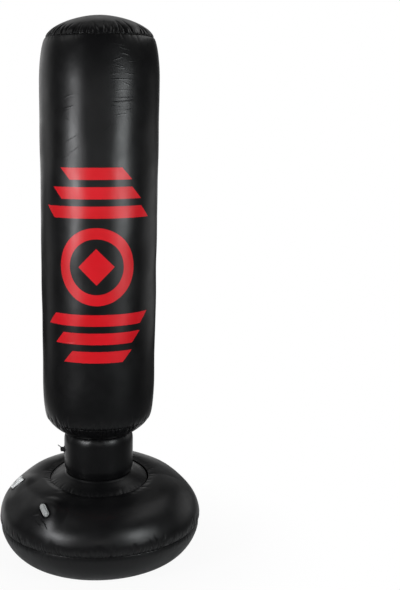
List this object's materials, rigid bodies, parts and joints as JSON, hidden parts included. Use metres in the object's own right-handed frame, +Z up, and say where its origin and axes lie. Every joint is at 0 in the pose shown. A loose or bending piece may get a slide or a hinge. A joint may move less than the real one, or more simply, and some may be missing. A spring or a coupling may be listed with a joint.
{
  "type": "inflatable punching bag",
  "caption": "Free-standing inflatable punching bag: a tall black film column on a flexible neck over a round water-filled base, with plug valves.",
  "frame": {"origin": "centre of the base's flat underside, on the floor", "axes": "+Z up along the column, -Y towards the printed front of the column, +X to the right seen from the front"},
  "size_m": [0.605, 0.605, 1.6],
  "materials": {
    "black_film": "satin",
    "inner_film": "satin",
    "white_valve": "satin",
    "black_valve": "satin",
    "water": "gloss"
  },
  "bodies": {
    "base": {"base_upper_panel": "black_film", "base_lower_panel": "black_film", "base_collar": "black_film", "base_tie_wall": "inner_film", "neck_bulkhead": "inner_film", "ballast_water": "water", "front_valve_patch": "black_film", "front_valve_body": "white_valve", "rear_valve_patch": "black_film", "rear_valve_body": "white_valve"},
    "neck": {"neck_wall": "black_film", "neck_valve_patch": "black_film", "neck_valve_body": "black_valve"},
    "column": {"column_wall": "black_film", "column_top_cap": "black_film", "column_bottom_cap": "black_film"},
    "neck_valve_plug": {"neck_valve_cap": "black_valve"},
    "neck_valve_check": {"neck_valve_flap": "black_valve"},
    "front_valve_plug": {"front_valve_cap": "white_valve"},
    "front_valve_check": {"front_valve_flap": "white_valve"},
    "rear_valve_plug": {"rear_valve_cap": "white_valve"},
    "rear_valve_check": {"rear_valve_flap": "white_valve"}
  },
  "joints": [
    {"name": "sway_sideways", "type": "hinge", "parent": "base", "child": "neck", "pos_m": [0, 0, 0.3085], "axis": [0, 1, 0], "range_deg": [-20, 20], "stiffness_Nm_per_rad": 90, "deforming": ["neck_wall"]},
    {"name": "sway_fore_aft", "type": "hinge", "parent": "neck", "child": "column", "pos_m": [0, 0, 0.3085], "axis": [1, 0, 0], "range_deg": [-20, 20], "stiffness_Nm_per_rad": 90, "deforming": ["neck_wall"]},
    {"name": "neck_valve_plug_open", "type": "hinge", "parent": "neck", "child": "neck_valve_plug", "pos_m": [-0.1138, -0.0124, 0.3215], "axis": [0, 0, 1], "range_deg": [0, 150]},
    {"name": "neck_valve_check_open", "type": "hinge", "parent": "neck", "child": "neck_valve_check", "pos_m": [-0.0962, 0.0021, 0.3215], "axis": [0, 0, -1], "range_deg": [0, 40], "stiffness_Nm_per_rad": 0.0002},
    {"name": "front_valve_plug_open", "type": "hinge", "parent": "base", "child": "front_valve_plug", "pos_m": [-0.16593, -0.19348, 0.22473], "axis": [-0.8362, -0.0867, -0.5415], "range_deg": [0, 150]},
    {"name": "front_valve_check_open", "type": "hinge", "parent": "base", "child": "front_valve_check", "pos_m": [-0.15012, -0.20878, 0.20277], "axis": [0.8362, 0.0867, 0.5415], "range_deg": [0, 40], "stiffness_Nm_per_rad": 0.0002},
    {"name": "rear_valve_plug_open", "type": "hinge", "parent": "base", "child": "rear_valve_plug", "pos_m": [-0.2676, -0.01616, 0.21373], "axis": [0.1354, -0.9888, 0.0629], "range_deg": [0, 150]},
    {"name": "rear_valve_check_open", "type": "hinge", "parent": "base", "child": "rear_valve_check", "pos_m": [-0.23731, -0.01167, 0.21904], "axis": [-0.1354, 0.9888, -0.0629], "range_deg": [0, 40], "stiffness_Nm_per_rad": 0.0002}
  ]
}
